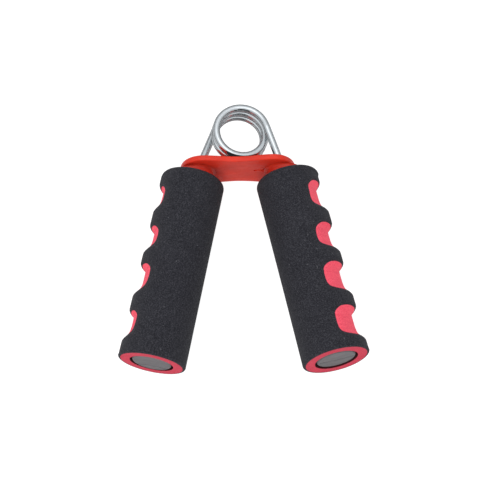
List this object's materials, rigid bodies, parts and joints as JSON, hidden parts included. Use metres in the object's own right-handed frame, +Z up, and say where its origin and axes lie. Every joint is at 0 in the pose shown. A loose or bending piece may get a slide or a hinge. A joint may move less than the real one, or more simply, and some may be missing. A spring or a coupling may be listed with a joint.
{
  "type": "hand grip strengthener",
  "caption": "Hand grip strengthener: foam-covered handles with finger grooves, joined by a chromed torsion spring and a red bridge plate.",
  "frame": {"origin": "middle of the grip's outline, on the surface that it lies on", "axes": "+Y from the handles to the coil, +Z up and along the coil's axis, +X to the right handle"},
  "size_m": [0.1126, 0.1301, 0.03],
  "materials": {
    "chromed_wire": "bright chrome plating on round spring wire",
    "red_plastic": "semi-gloss moulded",
    "grey_plastic": "satin moulded",
    "red_foam": "fine closed-cell foam, ground surface",
    "black_foam": "fine closed-cell foam, ground surface"
  },
  "bodies": {
    "left_handle": {"foam_black_left": "black_foam", "foam_red_left": "red_foam", "core_tube_left": "grey_plastic", "end_plug_left": "grey_plastic", "collar_left": "red_plastic", "spring_leg_left": "chromed_wire", "spring_coil": "chromed_wire"},
    "right_handle": {"foam_black_right": "black_foam", "foam_red_right": "red_foam", "core_tube_right": "grey_plastic", "end_plug_right": "grey_plastic", "collar_right": "red_plastic", "spring_leg_right": "chromed_wire"},
    "bridge": {"bridge_plate": "red_plastic"}
  },
  "joints": [
    {"name": "squeeze", "type": "hinge", "parent": "left_handle", "child": "right_handle", "pos_m": [0, 0.0514, 0.015], "axis": [0, 0, -1], "range_deg": [0, 25], "stiffness_Nm_per_rad": 7, "deforming": ["spring_coil"]},
    {"name": "bridge_follow", "type": "hinge", "parent": "left_handle", "child": "bridge", "pos_m": [0, 0.0514, 0.015], "axis": [0, 0, -1], "range_deg": [0, 12.5]}
  ],
  "couplings": [
    {"joint": "bridge_follow", "follows": "squeeze", "ratio": 0.5}
  ]
}
